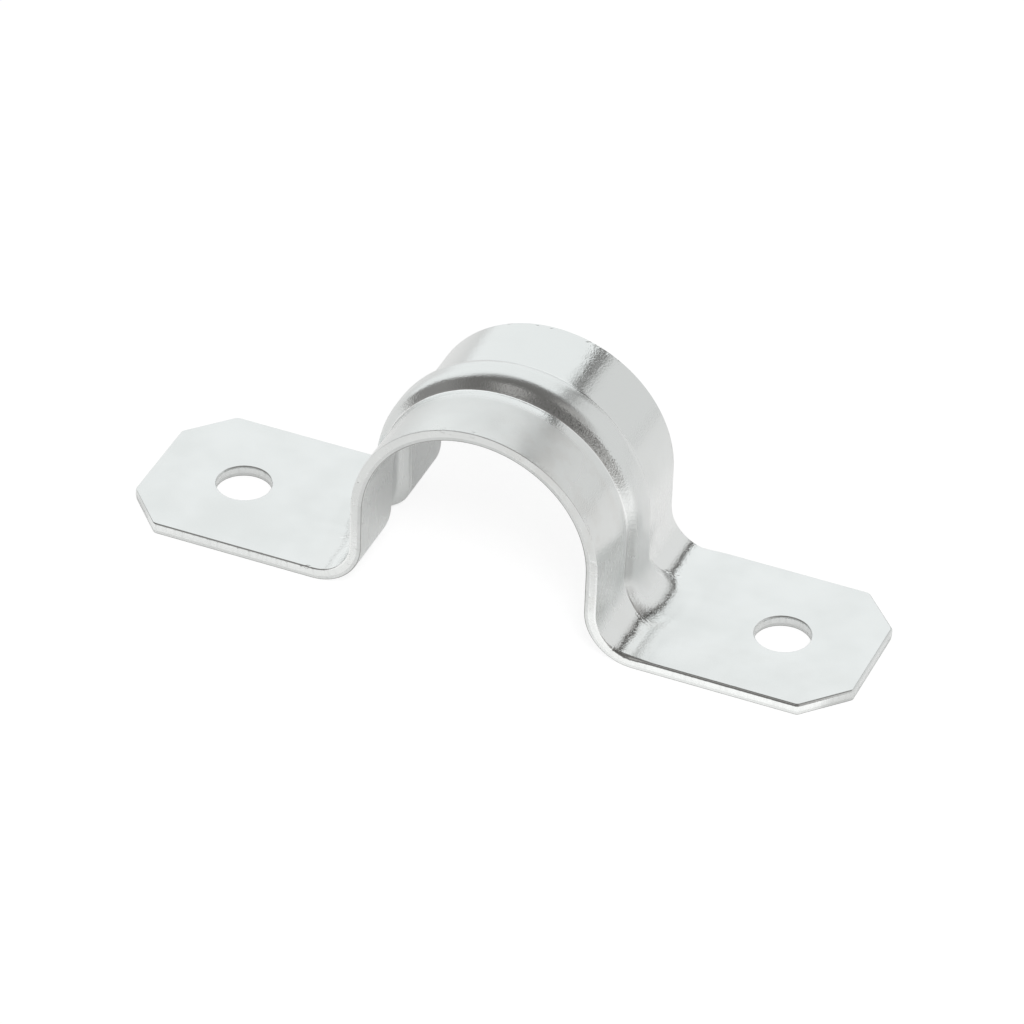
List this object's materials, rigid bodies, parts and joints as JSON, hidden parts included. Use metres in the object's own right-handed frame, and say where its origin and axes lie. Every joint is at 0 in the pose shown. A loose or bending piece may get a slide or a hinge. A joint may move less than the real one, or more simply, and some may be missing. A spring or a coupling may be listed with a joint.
{
  "type": "conduit strap",
  "caption": "Folded sheet-steel saddle strap with a pressed rib, which holds a round conduit down on a flat surface by a screw through the ear on each side.",
  "frame": {"origin": "on the mounting face of the ears, midway between the screw holes", "axes": "+X along the strap from ear to ear, +Y along the conduit, +Z from the mounting face up over the saddle"},
  "size_m": [0.0764, 0.0198, 0.0237],
  "materials": {
    "zinc_plated_steel": "bright zinc plate over pressed mild steel sheet, lightly clouded"
  },
  "bodies": {
    "root": {"strap": "zinc_plated_steel"}
  },
  "joints": []
}
